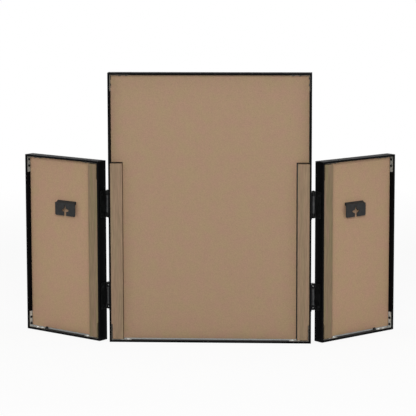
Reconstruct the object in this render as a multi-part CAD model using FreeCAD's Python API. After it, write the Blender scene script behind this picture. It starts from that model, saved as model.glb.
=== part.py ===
import FreeCAD, Part

import math
import os

# Trifold vanity mirror: a framed centre panel and two shorter framed wings on butt hinges.
#
# Millimetres, +Z up.  The mirror side faces -Y.  The origin is the middle of the centre panel's
# bottom face.  "right" is +X, the right hand of someone who looks into the mirror.
#
# Every panel is first built in its own frame: x from -width/2 to +width/2, y from -DEPTH/2 (front)
# to +DEPTH/2 (rear), z from 0 (bottom) to its height.  A wing is built as the right one, with its
# hinge side at low x, and mirrored for the left.

# ---------------------------------------------------------------- driving dimensions, millimetres
CENTRE_WIDTH = 568.0
CENTRE_HEIGHT = 762.0
WING_WIDTH = 280.0
WING_HEIGHT = 513.0
DEPTH = 32.5

# Frame rail: a thin box section with a lip that holds the glass from the front.
RAIL_WALL = 5.5  # width of the box section, seen as the black line round the back
RAIL_SKIN = 1.3  # wall of the extrusion
LIP_THICKNESS = 1.6
LIP_OVERLAP = 5.5  # how far the lip reaches inwards past the box section
RAIL_CHAMFER = 0.7

# What lies in the frame, from the front lip backwards.
GLASS_THICKNESS = 5.0
GLASS_SIDE_GAP = 1.0
BOARD_THICKNESS = 12.0
BOARD_SIDE_GAP = 1.8
BATTEN_GAP = 2.3  # between a batten and the board's edge
BATTEN_WIDTH = 33.0
BATTEN_SET_BACK = 0.5  # below the rear edge of the frame
BLOCK_HEIGHT = 4.0  # setting blocks, and so the gap under glass and board
BLOCK_LENGTH = 20.0
STRIP_SET_BACK = 0.3  # seating strip under the board, below the board's rear face
STRIP_END_GAP = 0.5  # between the strip and a heeled block, or the strip's end and the rail
HEEL_LENGTH = 7.0
HEEL_THICKNESS = 5.0
HEEL_RISE = 2.0  # above the board's bottom edge
HEEL_BRACKET_GAP = 0.5  # from the end of a bracket to the heel

# Corner brackets: a bent strip with two slots in each leg.
BRACKET_THICKNESS = 1.5
BRACKET_WIDTH = 10.6
BRACKET_LEVEL_LEG = 56.0  # along the bottom and top rails
BRACKET_UPRIGHT_LEG = 45.5  # along the side rails
BRACKET_BEND_CHAMFER = 1.2  # outside of the bend
BRACKET_REAR_GAP = 3.0  # behind it, down from the rear edge of the frame
BRACKET_RELIEF = 2.0  # room that a batten leaves for screw heads on a bracket
BRACKET_END_GAP = 0.5  # between a bracket's end and the batten's rebate
SLOT_WIDTH = 3.8
SLOT_LENGTH = 7.4
SLOT_CHAMFER = 1.2
LEVEL_SLOT_NEAR = 28.0  # middles of the slots, from the inner corner
LEVEL_SLOT_FAR = 46.5
UPRIGHT_SLOT_NEAR = 9.5
UPRIGHT_SLOT_FAR = 28.0

# Screws.  Small holes, heads and shanks have few sides, because there are many of them.
SCREW_SIDES = 10
SCREW_CLEARANCE = 0.05
PAN_HEAD_RADIUS = 3.2
PAN_HEAD_TOP_RADIUS = 2.4
PAN_HEAD_HEIGHT = 1.8
PAN_SHANK_RADIUS = 1.6
HANGER_SCREW_LENGTH = 10.0

# Butt hinges, two to a wing.
HINGE_LENGTH = 76.0
LOWER_HINGE_RISE = 128.0  # middle of the lower hinge above the bottom of the frames
UPPER_HINGE_DROP = 123.0  # middle of the upper hinge below the top of the wing
HINGE_NAMES = ("lower", "upper")
PIVOT_FRONT = 1.5  # pin axis in front of the frame's front face
KNUCKLE_RADIUS = 5.0
KNUCKLE_SIDE_GAP = 0.2  # between the barrel and the frame's side face
MIDDLE_KNUCKLE = 48.0  # length of the moving leaf's knuckle, between the fixed leaf's two
KNUCKLE_GAP = 0.3
KNUCKLE_SWEEP_GAP = 0.4
PIN_RADIUS = 2.5
PIN_CLEARANCE = 0.05  # in the moving knuckles
PIN_SEAT_CLEARANCE = 0.02  # in the fixed knuckles
PIN_HEAD_RADIUS = 3.9
PIN_HEAD_HEIGHT = 2.2
PIN_TAIL = 1.0  # below the barrel
LEAF_THICKNESS = 1.5
LEAF_DEPTH = 24.5  # from the front face of the frame backwards
LEAF_CHAMFER = 2.0
LEAF_HOLE_INSET = 11.0  # from the ends of the leaf
LEAF_HOLE_DEPTH = 18.0  # from the front face of the frame backwards
FLAT_HEAD_RADIUS = 3.7
FLAT_SHANK_RADIUS = 2.0
HINGE_SCREW_LENGTH = 18.0

# Keyhole hangers on the wings.
HANGER_WIDTH = 76.0
HANGER_HEIGHT = 37.0
HANGER_SHEET = 1.5
HANGER_STANDOFF = 8.0  # from the board to the plate
HANGER_CORNER_RADIUS = 5.0
HANGER_DROP = 148.5  # middle of the plate below the top of the wing
HANGER_CENTRE_INSET = 149.0  # from the wing's outer edge
WEB_INSET = 3.0  # on each side of the plate
WEB_RISE = 5.5  # the web climbs this much on its way to the board
FLANGE_HEIGHT = 11.0
FLANGE_CHAMFER = 4.0
FLANGE_SCREW_INSET = 5.0  # from the ends of the flange
FLANGE_SCREW_RISE = 4.5  # above its lower edge
KEYHOLE_DROP = 21.0  # middle of the keyhole below the plate's top edge
KEYHOLE_ARM = 13.4
KEYHOLE_SPIKE = 14.5
KEYHOLE_ROOT = 10.0  # width of an arm where it leaves the middle
KEYHOLE_TIP = 4.0  # width of an arm at its end
KEYHOLE_SLOT = 8.0  # open slot down through the plate's bottom edge

# How far each wing is folded forward from flat, degrees.
RIGHT_WING_ANGLE = 35.1
LEFT_WING_ANGLE = 41.7

# ---------------------------------------------------------------- sizes that follow from them
FRONT = -DEPTH / 2
REAR = DEPTH / 2
GLASS_FRONT = FRONT + LIP_THICKNESS
BOARD_FRONT = GLASS_FRONT + GLASS_THICKNESS
BOARD_REAR = BOARD_FRONT + BOARD_THICKNESS
LIP_REACH = RAIL_WALL + LIP_OVERLAP
BATTEN_LENGTH = WING_HEIGHT - 2 * RAIL_WALL
BRACKET_MIDDLE = REAR - BRACKET_REAR_GAP - BRACKET_WIDTH / 2
BLOCK_INSET = BRACKET_LEVEL_LEG + HEEL_BRACKET_GAP + HEEL_LENGTH / 2  # from the inner corner
HINGE_HEIGHTS = (LOWER_HINGE_RISE, WING_HEIGHT - UPPER_HINGE_DROP)
PIVOT_SIDE = KNUCKLE_RADIUS + KNUCKLE_SIDE_GAP  # pin axis outside the frame's side face
PIVOT_Y = FRONT - PIVOT_FRONT
HANGER_CENTRE_HEIGHT = WING_HEIGHT - HANGER_DROP
WEB_WIDTH = HANGER_WIDTH - 2 * WEB_INSET

X_AXIS = FreeCAD.Vector(1, 0, 0)
Y_AXIS = FreeCAD.Vector(0, 1, 0)
Z_AXIS = FreeCAD.Vector(0, 0, 1)
ORIGIN = FreeCAD.Vector(0, 0, 0)
PAST = 1.0  # how far a cutting tool runs past the face that it cuts


def vec(x, y, z):
    """A point or direction."""
    return FreeCAD.Vector(x, y, z)


def block(low, high):
    """A box between two corners."""
    size = [b - a for a, b in zip(low, high)]
    return Part.makeBox(size[0], size[1], size[2], vec(*low))


def rod(radius, base, direction, length):
    """A round bar from a point, along a direction."""
    return Part.makeCylinder(radius, length, base, direction)


def plate(points, thickness_vector):
    """A flat outline, closed by itself and drawn out along a vector."""
    face = Part.Face(Part.makePolygon(list(points) + [points[0]]))
    return face.extrude(thickness_vector)


def facet_rod(radius, base, direction, length, end_radius=None):
    """A straight or tapered bar with a regular polygon for its section."""
    def ring(size, height):
        turns = [2 * math.pi * k / SCREW_SIDES for k in range(SCREW_SIDES)]
        return [vec(size * math.cos(turn), size * math.sin(turn), height) for turn in turns]

    low = ring(radius, 0)
    high = ring(radius if end_radius is None else end_radius, length)
    outlines = [low, high]
    for k in range(SCREW_SIDES):
        outlines.append([low[k - 1], low[k], high[k], high[k - 1]])
    faces = [Part.Face(Part.makePolygon(outline + [outline[0]])) for outline in outlines]
    bar = Part.Solid(Part.makeShell(faces))
    bar.fix(1e-6, 1e-6, 1e-6)
    bar.Placement = FreeCAD.Placement(base, FreeCAD.Rotation(Z_AXIS, direction))
    return bar


def edges_along(solid, direction, keep):
    """Straight edges parallel to a direction whose middle passes a test."""
    found = []
    for edge in solid.Edges:
        if len(edge.Vertexes) != 2:
            continue
        run = edge.Vertexes[1].Point - edge.Vertexes[0].Point
        if run.cross(direction).Length < 1e-6 * run.Length and keep(edge.CenterOfMass):
            found.append(edge)
    return found


def group(solids):
    """Several separate solids kept as one sub-part."""
    return Part.makeCompound(solids)


def mirrored(shape):
    """The shape on the other side of x = 0."""
    return shape.mirror(ORIGIN, X_AXIS)


# ---------------------------------------------------------------- frame rails
def rail_blank(length):
    """A rail with mitred ends, outer face on z = 0, centred on x = 0, drawn out along x.

    The section is the box with its front lip, less the hollow of the extrusion.  The mitre is a
    trapezium that is as long as the rail outside and loses the section's reach at each end.
    """
    half = length / 2
    outline = [
        vec(-half, FRONT, 0), vec(-half, REAR, 0), vec(-half, REAR, RAIL_WALL),
        vec(-half, GLASS_FRONT, RAIL_WALL), vec(-half, GLASS_FRONT, LIP_REACH),
        vec(-half, FRONT, LIP_REACH),
    ]
    bar = plate(outline, vec(length, 0, 0))
    bar = bar.makeChamfer(RAIL_CHAMFER, edges_along(bar, X_AXIS, lambda p: p.z < 1e-6))
    hollow = block(
        (-half - PAST, GLASS_FRONT, RAIL_SKIN), (half + PAST, REAR - RAIL_SKIN, RAIL_WALL - RAIL_SKIN)
    )
    mitre = plate(
        [
            vec(-half, FRONT - PAST, 0), vec(half, FRONT - PAST, 0),
            vec(half - LIP_REACH, FRONT - PAST, LIP_REACH), vec(LIP_REACH - half, FRONT - PAST, LIP_REACH),
        ],
        vec(0, DEPTH + 2 * PAST, 0),
    )
    return bar.cut(hollow).common(mitre)


def rails(width, height):
    """The four rails of a panel.  Each is a blank turned about y so that its lip points inwards."""
    middle = vec(0, 0, height / 2)
    made = {}
    for name, turn, length, reach in (
        ("bottom", 0, width, height / 2), ("right", -90, height, width / 2),
        ("top", 180, width, height / 2), ("left", 90, height, width / 2),
    ):
        rail = rail_blank(length)
        rail.translate(vec(0, 0, -reach))
        rail.rotate(ORIGIN, Y_AXIS, turn)
        rail.translate(middle)
        made["rail_" + name] = rail
    return made


# ---------------------------------------------------------------- glass, board, battens, blocks
def glass(width, height):
    """The mirror glass, on its setting blocks and against the lip."""
    side = width / 2 - RAIL_WALL - GLASS_SIDE_GAP
    return block(
        (-side, GLASS_FRONT, RAIL_WALL + BLOCK_HEIGHT),
        (side, BOARD_FRONT, height - RAIL_WALL - GLASS_SIDE_GAP),
    )


def board(width, height, batten_sides):
    """The backing board, cut away round the battens on the given sides (-1 low x, +1 high x)."""
    side = width / 2 - RAIL_WALL - BOARD_SIDE_GAP
    blank = block(
        (-side, BOARD_FRONT, RAIL_WALL + BLOCK_HEIGHT),
        (side, BOARD_REAR, height - RAIL_WALL - BOARD_SIDE_GAP),
    )
    for sign in batten_sides:
        edge = width / 2 - RAIL_WALL - BATTEN_WIDTH - BATTEN_GAP
        notch = block(
            (edge, BOARD_FRONT - PAST, 0),
            (width, BOARD_REAR + PAST, RAIL_WALL + BATTEN_LENGTH + BATTEN_GAP),
        )
        blank = blank.cut(mirrored(notch) if sign < 0 else notch)
    return blank


def batten(width, height, sign, hinge_heights):
    """A batten on one side of a panel, rebated over the brackets and drilled for hinge screws."""
    inner = width / 2 - RAIL_WALL
    top = RAIL_WALL + BATTEN_LENGTH
    bar = block((inner - BATTEN_WIDTH, BOARD_FRONT, RAIL_WALL), (inner, REAR - BATTEN_SET_BACK, top))
    relief = BRACKET_THICKNESS + BRACKET_RELIEF
    rear_band = REAR - BRACKET_REAR_GAP - BRACKET_WIDTH - BATTEN_SET_BACK
    level = block(
        (inner - BATTEN_WIDTH - PAST, rear_band, RAIL_WALL - PAST),
        (inner + PAST, REAR + PAST, RAIL_WALL + relief),
    )
    upright = block(
        (inner - relief, rear_band, RAIL_WALL - PAST),
        (inner + PAST, REAR + PAST, RAIL_WALL + BRACKET_UPRIGHT_LEG + BRACKET_END_GAP),
    )
    corner = level.fuse(upright)
    bar = bar.cut(corner)
    if top > height - RAIL_WALL - relief:
        bar = bar.cut(corner.mirror(vec(0, 0, height / 2), Z_AXIS))
    for place in screw_places(hinge_heights):
        bar = bar.cut(countersink(width / 2 + LEAF_THICKNESS, place))
    return mirrored(bar) if sign < 0 else bar


def setting_block(x, heeled):
    """A rubber block under the glass.  The heeled one runs on under the board and up behind it."""
    pad = block(
        (x - BLOCK_LENGTH / 2, GLASS_FRONT, RAIL_WALL),
        (x + BLOCK_LENGTH / 2, BOARD_FRONT, RAIL_WALL + BLOCK_HEIGHT),
    )
    if not heeled:
        return pad
    tongue = block(
        (x - HEEL_LENGTH / 2, BOARD_FRONT, RAIL_WALL),
        (x + HEEL_LENGTH / 2, BOARD_REAR + HEEL_THICKNESS, RAIL_WALL + BLOCK_HEIGHT),
    )
    heel = block(
        (x - HEEL_LENGTH / 2, BOARD_REAR, RAIL_WALL),
        (x + HEEL_LENGTH / 2, BOARD_REAR + HEEL_THICKNESS, RAIL_WALL + BLOCK_HEIGHT + HEEL_RISE),
    )
    heel = heel.makeFillet(
        HEEL_THICKNESS / 2,
        edges_along(heel, X_AXIS, lambda p: p.z > RAIL_WALL + BLOCK_HEIGHT and p.y > BOARD_REAR + 1e-6),
    )
    return pad.fuse([tongue, heel]).removeSplitter()


def setting_blocks(width, heeled_sides):
    """The two blocks of a panel, the same distance in from each side."""
    x = width / 2 - RAIL_WALL - BLOCK_INSET
    return group([setting_block(sign * x, sign in heeled_sides) for sign in (-1, 1)])


def seating_strip(width, batten_sides, heeled_sides):
    """The strip of stiff foam that the board stands on, with a gap for each heeled block."""
    ends = {}
    for sign in (-1, 1):
        clear = BATTEN_WIDTH + BATTEN_GAP if sign in batten_sides else STRIP_END_GAP
        ends[sign] = width / 2 - RAIL_WALL - clear
    strip = block(
        (-ends[-1], BOARD_FRONT, RAIL_WALL),
        (ends[1], BOARD_REAR - STRIP_SET_BACK, RAIL_WALL + BLOCK_HEIGHT),
    )
    room = HEEL_LENGTH / 2 + STRIP_END_GAP
    for sign in heeled_sides:
        x = sign * (width / 2 - RAIL_WALL - BLOCK_INSET)
        strip = strip.cut(block((x - room, FRONT, 0), (x + room, REAR, RAIL_WALL + BLOCK_HEIGHT + PAST)))
    return group(strip.Solids)


# ---------------------------------------------------------------- corner brackets and screws
def slot_cutter(at, along, through):
    """A slot with chamfered ends, centred on a point, long in one direction, cut through another."""
    half = along * (SLOT_LENGTH / 2)
    waist = along * (SLOT_LENGTH / 2 - SLOT_CHAMFER)
    side = Y_AXIS * (SLOT_WIDTH / 2)
    inset = Y_AXIS * (SLOT_WIDTH / 2 - SLOT_CHAMFER)
    corners = [
        waist + side, half + inset, half - inset, waist - side,
        -waist - side, -half - inset, -half + inset, -waist + side,
    ]
    reach = through * (BRACKET_THICKNESS + PAST)
    return plate([at + corner - reach for corner in corners], reach * 2)


def corner_bracket():
    """A bent strip in the corner of x and z, legs along +x and +z, from the corner at the origin."""
    t = BRACKET_THICKNESS
    outline = [
        vec(0, 0, 0), vec(BRACKET_LEVEL_LEG, 0, 0), vec(BRACKET_LEVEL_LEG, 0, t),
        vec(t, 0, t), vec(t, 0, BRACKET_UPRIGHT_LEG), vec(0, 0, BRACKET_UPRIGHT_LEG),
    ]
    strip = plate([p - Y_AXIS * (BRACKET_WIDTH / 2) for p in outline], Y_AXIS * BRACKET_WIDTH)
    bend = edges_along(strip, Y_AXIS, lambda p: p.x < 1e-6 and p.z < 1e-6)
    strip = strip.makeChamfer(BRACKET_BEND_CHAMFER, bend)
    cutters = []
    for reach in (LEVEL_SLOT_NEAR, LEVEL_SLOT_FAR):
        cutters.append(slot_cutter(X_AXIS * reach, X_AXIS, Z_AXIS))
    for reach in (UPRIGHT_SLOT_NEAR, UPRIGHT_SLOT_FAR):
        cutters.append(slot_cutter(Z_AXIS * reach, Z_AXIS, X_AXIS))
    strip = strip.cut(cutters)
    strip.translate(Y_AXIS * BRACKET_MIDDLE)
    return strip


def pan_screw(seat, into, length):
    """A pan-head screw whose head sits on a point and whose shank runs along a direction."""
    head = facet_rod(PAN_HEAD_RADIUS, seat, into * -1, PAN_HEAD_HEIGHT, PAN_HEAD_TOP_RADIUS)
    return head.fuse(facet_rod(PAN_SHANK_RADIUS, seat, into, length)).removeSplitter()


def in_corner(shape, width, height, side, level):
    """A copy of something made in the bracket's corner, carried to one inner corner of a panel."""
    moved = shape.copy()
    moved.translate(vec(RAIL_WALL - width / 2, 0, RAIL_WALL))
    if side == "right":
        moved = mirrored(moved)
    if level == "top":
        moved = moved.mirror(vec(0, 0, height / 2), Z_AXIS)
    return moved


CORNERS = [(level, side) for level in ("bottom", "top") for side in ("left", "right")]


# ---------------------------------------------------------------- hinges
def screw_places(hinge_heights):
    """The middles of all hinge screws of one side of a panel, as y and z."""
    y = FRONT + LEAF_HOLE_DEPTH
    half = HINGE_LENGTH / 2 - LEAF_HOLE_INSET
    return [vec(0, y, z + step) for z in hinge_heights for step in (-half, half)]


def flat_screw(x, place):
    """A countersunk screw with its flat head at x, driven towards -x."""
    cone = FLAT_HEAD_RADIUS - FLAT_SHANK_RADIUS
    at = vec(x, place.y, place.z)
    head = facet_rod(FLAT_HEAD_RADIUS, at, -X_AXIS, cone, FLAT_SHANK_RADIUS)
    shank = facet_rod(FLAT_SHANK_RADIUS, at, -X_AXIS, HINGE_SCREW_LENGTH)
    return head.fuse(shank).removeSplitter()


def countersink(x, place):
    """The hole for that screw in the leaf, the rail and the batten."""
    cone = FLAT_HEAD_RADIUS - FLAT_SHANK_RADIUS
    at = vec(x, place.y, place.z)
    gap = SCREW_CLEARANCE
    sink = facet_rod(FLAT_HEAD_RADIUS + gap, at, -X_AXIS, cone, FLAT_SHANK_RADIUS + gap)
    drill = facet_rod(
        FLAT_SHANK_RADIUS + gap, at + X_AXIS * PAST, -X_AXIS, HINGE_SCREW_LENGTH + 2 * PAST
    )
    return sink.fuse(drill)


def knuckle_spans(middle, moving):
    """Bottom and top of each knuckle that belongs to one leaf."""
    end = HINGE_LENGTH / 2
    inner = MIDDLE_KNUCKLE / 2
    if moving:
        return [(middle - inner + KNUCKLE_GAP, middle + inner - KNUCKLE_GAP)]
    return [(middle - end, middle - inner), (middle + inner, middle + end)]


def hinge_leaf(face_x, middle, moving):
    """A leaf on a side face at x = face_x that looks towards +x, with its knuckles round the pin."""
    low = middle - HINGE_LENGTH / 2
    high = middle + HINGE_LENGTH / 2
    pin_x = face_x + PIVOT_SIDE
    leaf = block((face_x, PIVOT_Y, low), (face_x + LEAF_THICKNESS, FRONT + LEAF_DEPTH, high))
    leaf = leaf.makeChamfer(
        LEAF_CHAMFER, edges_along(leaf, X_AXIS, lambda p: p.y > FRONT + LEAF_DEPTH / 2)
    )
    for bottom, top in knuckle_spans(middle, not moving):
        sweep = rod(
            KNUCKLE_RADIUS + KNUCKLE_SWEEP_GAP, vec(pin_x, PIVOT_Y, bottom - KNUCKLE_GAP),
            Z_AXIS, top - bottom + 2 * KNUCKLE_GAP,
        )
        leaf = leaf.cut(sweep)
    for bottom, top in knuckle_spans(middle, moving):
        leaf = leaf.fuse(rod(KNUCKLE_RADIUS, vec(pin_x, PIVOT_Y, bottom), Z_AXIS, top - bottom))
    gap = PIN_CLEARANCE if moving else PIN_SEAT_CLEARANCE
    bore = rod(PIN_RADIUS + gap, vec(pin_x, PIVOT_Y, low - PAST), Z_AXIS, high - low + 2 * PAST)
    leaf = leaf.cut(bore)
    for place in screw_places([middle]):
        leaf = leaf.cut(countersink(face_x + LEAF_THICKNESS, place))
    return leaf.removeSplitter()


def hinge_pin(pin_x, middle):
    """The pin: a bar with a round head on the barrel's top and a short tail below it."""
    low = middle - HINGE_LENGTH / 2 - PIN_TAIL
    seat = middle + HINGE_LENGTH / 2
    crown = seat + PIN_HEAD_HEIGHT
    outline = [
        vec(0, 0, low), vec(PIN_RADIUS, 0, low), vec(PIN_RADIUS, 0, seat),
        vec(PIN_HEAD_RADIUS, 0, seat), vec(PIN_HEAD_RADIUS, 0, crown), vec(0, 0, crown),
    ]
    pin = Part.Face(Part.makePolygon(outline + [outline[0]])).revolve(ORIGIN, Z_AXIS, 360)
    if pin.Volume < 0:
        pin.reverse()
    pin.translate(vec(pin_x, PIVOT_Y, 0))
    return pin


# ---------------------------------------------------------------- keyhole hanger
def keyhole_cutter(top):
    """The cross with tapered arms and the open slot, cut through y, under a plate's top edge."""
    z = top - KEYHOLE_DROP
    root = KEYHOLE_ROOT / 2
    tip = KEYHOLE_TIP / 2
    slot = KEYHOLE_SLOT / 2
    low = top - HANGER_HEIGHT - PAST
    right_half = [
        (tip / 2, z + KEYHOLE_SPIKE), (root - tip, z + root), (KEYHOLE_ARM - tip / 2, z + tip),
        (KEYHOLE_ARM, z), (KEYHOLE_ARM - tip / 2, z - tip), (slot, z - root), (slot, low),
    ]
    left_half = [(-x, level) for x, level in reversed(right_half)]
    return plate([vec(x, 0, level) for x, level in right_half + left_half], Y_AXIS * DEPTH)


def hanger():
    """Pressed hanger, middle of its plate at x = 0: plate, climbing web, flange on the board."""
    inner = BOARD_REAR + HANGER_STANDOFF
    outer = inner + HANGER_SHEET
    top = HANGER_CENTRE_HEIGHT + HANGER_HEIGHT / 2
    low = top - HANGER_HEIGHT
    face = block((-HANGER_WIDTH / 2, inner, low), (HANGER_WIDTH / 2, outer, top))
    face = face.makeFillet(
        HANGER_CORNER_RADIUS,
        edges_along(face, Y_AXIS, lambda p: p.z < HANGER_CENTRE_HEIGHT),
    )
    keyhole = keyhole_cutter(top)
    face = face.cut(keyhole)
    seat = top + WEB_RISE
    web = plate(
        [
            vec(-WEB_WIDTH / 2, outer, top), vec(-WEB_WIDTH / 2, outer, top - HANGER_SHEET),
            vec(-WEB_WIDTH / 2, BOARD_REAR, seat - HANGER_SHEET), vec(-WEB_WIDTH / 2, BOARD_REAR, seat),
        ],
        vec(WEB_WIDTH, 0, 0),
    )
    flange = block(
        (-WEB_WIDTH / 2, BOARD_REAR, seat - FLANGE_HEIGHT),
        (WEB_WIDTH / 2, BOARD_REAR + HANGER_SHEET, seat),
    )
    flange = flange.makeChamfer(
        FLANGE_CHAMFER,
        edges_along(flange, Y_AXIS, lambda p: p.z < seat - FLANGE_HEIGHT / 2),
    )
    pressed = face.fuse([web, flange])
    for place in hanger_screw_places():
        pressed = pressed.cut(hanger_pilot(place))
    return pressed.removeSplitter()


def hanger_screw_places():
    """Where the two hanger screws enter the board."""
    z = HANGER_CENTRE_HEIGHT + HANGER_HEIGHT / 2 + WEB_RISE - FLANGE_HEIGHT + FLANGE_SCREW_RISE
    x = WEB_WIDTH / 2 - FLANGE_SCREW_INSET
    return [vec(sign * x, BOARD_REAR, z) for sign in (-1, 1)]


def hanger_screws():
    """The two screws, their heads on the flange."""
    return [
        pan_screw(place + Y_AXIS * HANGER_SHEET, -Y_AXIS, HANGER_SCREW_LENGTH)
        for place in hanger_screw_places()
    ]


def hanger_pilot(place):
    """The hole that one of them needs in the flange and the board."""
    start = place + Y_AXIS * (HANGER_SHEET + PAST)
    return facet_rod(
        PAN_SHANK_RADIUS + SCREW_CLEARANCE, start, -Y_AXIS, HANGER_SCREW_LENGTH + 2 * PAST
    )


# ---------------------------------------------------------------- panels
def panel(width, height, batten_sides, heeled_sides):
    """The pieces that every panel has, in the panel's own frame, by name."""
    made = rails(width, height)
    holes = []
    for sign in batten_sides:
        for place in screw_places(HINGE_HEIGHTS):
            sink = countersink(width / 2 + LEAF_THICKNESS, place)
            holes.append(mirrored(sink) if sign < 0 else sink)
    for name in ("rail_left", "rail_right"):
        made[name] = made[name].cut(holes)
    made["mirror_glass"] = glass(width, height)
    made["backing_board"] = board(width, height, batten_sides)
    for level, side in CORNERS:
        made[f"corner_bracket_{level}_{side}"] = in_corner(corner_bracket(), width, height, side, level)
    made["setting_blocks"] = setting_blocks(width, heeled_sides)
    made["seating_strip"] = seating_strip(width, batten_sides, heeled_sides)
    return made


def hinge_screws(face_x):
    """The screws of one side face at x = face_x that looks towards +x."""
    return [flat_screw(face_x + LEAF_THICKNESS, place) for place in screw_places(HINGE_HEIGHTS)]


def centre_panel():
    """The centre panel with its battens, fixed leaves and pins, in the final place."""
    made = panel(CENTRE_WIDTH, CENTRE_HEIGHT, (-1, 1), ())
    face_x = CENTRE_WIDTH / 2
    for side, sign in (("left", -1), ("right", 1)):
        made["batten_" + side] = batten(CENTRE_WIDTH, CENTRE_HEIGHT, sign, HINGE_HEIGHTS)
        for name, height in zip(HINGE_NAMES, HINGE_HEIGHTS):
            leaf = hinge_leaf(face_x, height, False)
            pin = hinge_pin(face_x + PIVOT_SIDE, height)
            made[f"{side}_{name}_hinge_fixed_leaf"] = mirrored(leaf) if sign < 0 else leaf
            made[f"{side}_{name}_hinge_pin"] = mirrored(pin) if sign < 0 else pin
    right_screws = hinge_screws(face_x)
    made["hinge_screws"] = group(right_screws + [mirrored(screw) for screw in right_screws])
    return made


def wing():
    """A wing as the right one, in its own frame: hinge side at low x, hanger on the board."""
    made = panel(WING_WIDTH, WING_HEIGHT, (-1,), (1,))
    made["batten"] = batten(WING_WIDTH, WING_HEIGHT, -1, HINGE_HEIGHTS)
    across = vec(WING_WIDTH / 2 - HANGER_CENTRE_INSET, 0, 0)
    plate_part = hanger()
    plate_part.translate(across)
    made["hanger"] = plate_part
    screws = hanger_screws()
    pilots = [hanger_pilot(place) for place in hanger_screw_places()]
    for piece in screws + pilots:
        piece.translate(across)
    made["hanger_screws"] = group(screws)
    made["backing_board"] = made["backing_board"].cut(pilots)
    for name, height in zip(HINGE_NAMES, HINGE_HEIGHTS):
        made[name + "_hinge_moving_leaf"] = mirrored(hinge_leaf(WING_WIDTH / 2, height, True))
    made["hinge_screws"] = group([mirrored(screw) for screw in hinge_screws(WING_WIDTH / 2)])
    return made


def hung(shape, angle):
    """A piece of the right wing moved from the wing's frame to its hinges and folded forward."""
    placed = shape.copy()
    placed.translate(vec(CENTRE_WIDTH / 2 + 2 * PIVOT_SIDE + WING_WIDTH / 2, 0, 0))
    placed.rotate(vec(CENTRE_WIDTH / 2 + PIVOT_SIDE, PIVOT_Y, 0), Z_AXIS, -angle)
    return placed


def other_hand(name):
    """The name of a mirrored wing's piece: what was on its right is on its left."""
    swap = {"left": "right", "right": "left"}
    return "_".join(swap.get(word, word) for word in name.split("_"))


def model():
    """Every sub-part by node name, in its final place."""
    made = {}
    for name, shape in centre_panel().items():
        made[name if name.endswith(("leaf", "pin")) else "centre_" + name] = shape
    for name, shape in wing().items():
        made["right_" + name] = hung(shape, RIGHT_WING_ANGLE)
        made["left_" + other_hand(name)] = mirrored(hung(shape, LEFT_WING_ANGLE))
    return made


os.makedirs("parts", exist_ok=True)
for node, shape in model().items():
    shape.exportStep(f"parts/{node}.step")
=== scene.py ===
"""Looks of a trifold vanity mirror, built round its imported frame.

A tall framed centre panel carries two shorter framed wings on black butt hinges.  Every panel is a
mitred aluminium frame that holds mirror glass from the front and a fibreboard back from the rear.

Shapes are worked out in millimetres in a panel's own frame: x across the panel, y from the mirror
side to the rear, z up, origin in the middle of its bottom edge.  They turn into metres, in the row
frame, when a piece is made.
"""

from __future__ import annotations

import logging
import math
import sys
from collections.abc import Callable, Sequence
from dataclasses import dataclass, field, replace
from enum import Enum

import bmesh
import bpy
import numpy as np
from mathutils import Matrix, Vector

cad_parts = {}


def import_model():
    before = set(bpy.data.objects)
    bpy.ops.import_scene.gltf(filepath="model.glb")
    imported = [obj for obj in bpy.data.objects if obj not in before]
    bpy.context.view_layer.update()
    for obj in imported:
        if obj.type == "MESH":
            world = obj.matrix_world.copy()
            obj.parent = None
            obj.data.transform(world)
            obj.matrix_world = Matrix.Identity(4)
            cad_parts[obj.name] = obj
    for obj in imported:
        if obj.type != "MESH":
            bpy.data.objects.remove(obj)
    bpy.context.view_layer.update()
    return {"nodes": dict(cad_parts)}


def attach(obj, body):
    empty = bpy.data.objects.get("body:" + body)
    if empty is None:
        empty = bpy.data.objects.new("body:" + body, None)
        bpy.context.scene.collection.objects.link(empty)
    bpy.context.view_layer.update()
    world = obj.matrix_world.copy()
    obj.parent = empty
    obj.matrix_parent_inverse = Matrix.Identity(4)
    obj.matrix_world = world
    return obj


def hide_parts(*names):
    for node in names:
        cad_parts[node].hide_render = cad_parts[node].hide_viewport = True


LOG = logging.getLogger("vanity_mirror")
MM = 0.001
WEAR = "wear"  # point attribute: 0 on flats, 1 along edges that rub bare
WELD = 1e-7  # metres: points of a new surface nearer than this become one
CAD_WELD = 2e-6  # the same for the points of a CAD node
FLAT_TURN = 0.6  # degrees: CAD triangles that turn less than this are one flat face
SHARP_TURN = 32.0  # an edge that turns more is shaded sharp
ROLLED_TURN = 40.0  # an edge that turns more is rolled over
ROLL_STEPS = 2  # faces across a rolled edge
FLAT_CORNERS = 5  # a face with so many corners or more is a whole flat


class Side(Enum):
    """A side of a panel, as the sign of its x."""

    LEFT = -1
    RIGHT = 1


class Level(Enum):
    """The low or the high end of a panel."""

    BOTTOM = "bottom"
    TOP = "top"


class RailSide(Enum):
    """A rail of a frame, as the turn about y that brings a bottom rail there, in degrees."""

    BOTTOM = 0
    RIGHT = -90
    TOP = 180
    LEFT = 90


class HeadForm(Enum):
    """The form of a screw's head."""

    PAN = "pan"
    FLAT = "flat"


# ------------------------------------------------------------------------------ colours and nodes
def srgb(code: str) -> tuple[float, float, float, float]:
    """Turns an sRGB hex colour into linear light.

    Args:
        code: The colour, such as "#a0866e".

    Returns:
        Red, green and blue in linear light, and an alpha of 1.
    """
    values = np.array([int(code[i : i + 2], 16) for i in (1, 3, 5)]) / 255.0
    linear = np.where(values <= 0.04045, values / 12.92, ((values + 0.055) / 1.055) ** 2.4)
    return (*[float(value) for value in linear], 1.0)


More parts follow.
